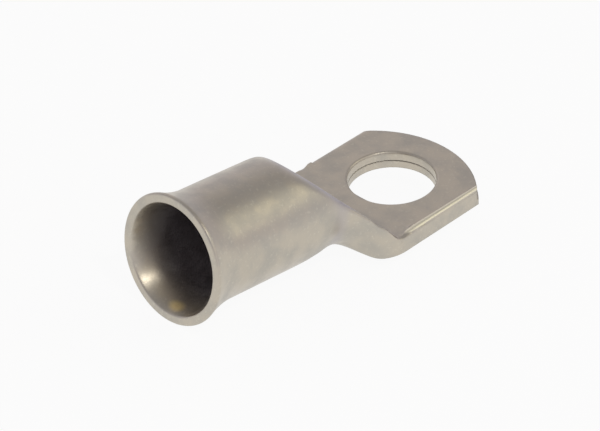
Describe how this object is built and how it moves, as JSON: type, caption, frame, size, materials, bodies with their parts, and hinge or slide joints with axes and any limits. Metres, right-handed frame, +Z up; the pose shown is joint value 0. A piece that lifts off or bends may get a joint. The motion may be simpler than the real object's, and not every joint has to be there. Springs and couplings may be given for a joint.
{
  "type": "tube cable lug",
  "caption": "Tinned copper tube terminal with a flared mouth for a stranded conductor and a flattened palm with a stud hole.",
  "frame": {"origin": "middle of the footprint, level with the lowest point of the bell mouth", "axes": "+X along the tube from its mouth to the palm, +Z up out of the palm's top, +Y across the palm"},
  "size_m": [0.0452, 0.0186, 0.0153],
  "materials": {
    "tinned_copper": "satin"
  },
  "bodies": {
    "root": {"tube_terminal": "tinned_copper"}
  },
  "joints": []
}
